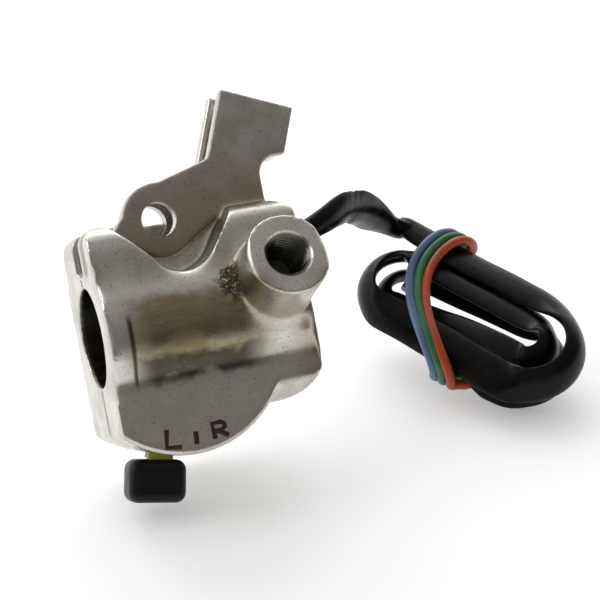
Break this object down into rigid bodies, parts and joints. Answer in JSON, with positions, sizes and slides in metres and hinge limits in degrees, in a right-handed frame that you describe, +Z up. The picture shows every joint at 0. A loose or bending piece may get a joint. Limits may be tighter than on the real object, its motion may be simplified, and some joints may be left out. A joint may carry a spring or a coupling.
{
  "type": "handlebar switch cluster",
  "caption": "Split alloy handlebar clamp with a clutch lever perch, a threaded mirror boss, a three-position indicator switch with a knob below, and a sleeved cord in a hank tied by its wires.",
  "frame": {"origin": "on the axis of the handlebar bore, 23 mm from the inboard end of the castings", "axes": "+X along the handlebar towards its middle, +Z up, +Y away from the side that carries the switch marks"},
  "size_m": [0.1241, 0.0694, 0.0822],
  "materials": {
    "polished_alloy": "polished cast alloy",
    "screw_steel": "zinc plated",
    "spring_steel": "bright",
    "arm_nylon": "satin, yellow-green",
    "knob_plastic": "satin black",
    "contact_brass": "bright",
    "plate_board": "brown laminate",
    "wire_blue": "satin",
    "wire_green": "satin",
    "wire_orange": "satin",
    "grommet_rubber": "matt black",
    "sleeve_black": "glossy black"
  },
  "bodies": {
    "housing": {"front_housing": "polished_alloy", "rear_housing": "polished_alloy", "clamp_screws": "screw_steel", "clamp_washers": "screw_steel", "pivot_pin": "spring_steel", "pivot_clip": "spring_steel", "detent_spring": "spring_steel", "contact_plate": "plate_board", "plate_screws": "screw_steel", "fixed_contacts": "contact_brass", "solder_tags": "contact_brass", "lead_blue": "wire_blue", "lead_orange": "wire_orange", "lead_green": "wire_green", "cord_grommet": "grommet_rubber", "cord_lead": "sleeve_black", "cord_hank": "sleeve_black", "tail_blue": "wire_blue", "tail_green": "wire_green", "tail_orange": "wire_orange"},
    "lever": {"switch_arm": "arm_nylon", "switch_knob": "knob_plastic", "wiper_contact": "contact_brass", "wiper_spring": "spring_steel"}
  },
  "joints": [
    {"name": "indicator_lever", "type": "hinge", "parent": "housing", "child": "lever", "pos_m": [-0.0109, -0.00725, -0.01256], "axis": [0, -0.866, 0.5], "range_deg": [0, 40], "deforming": ["detent_spring"]}
  ]
}
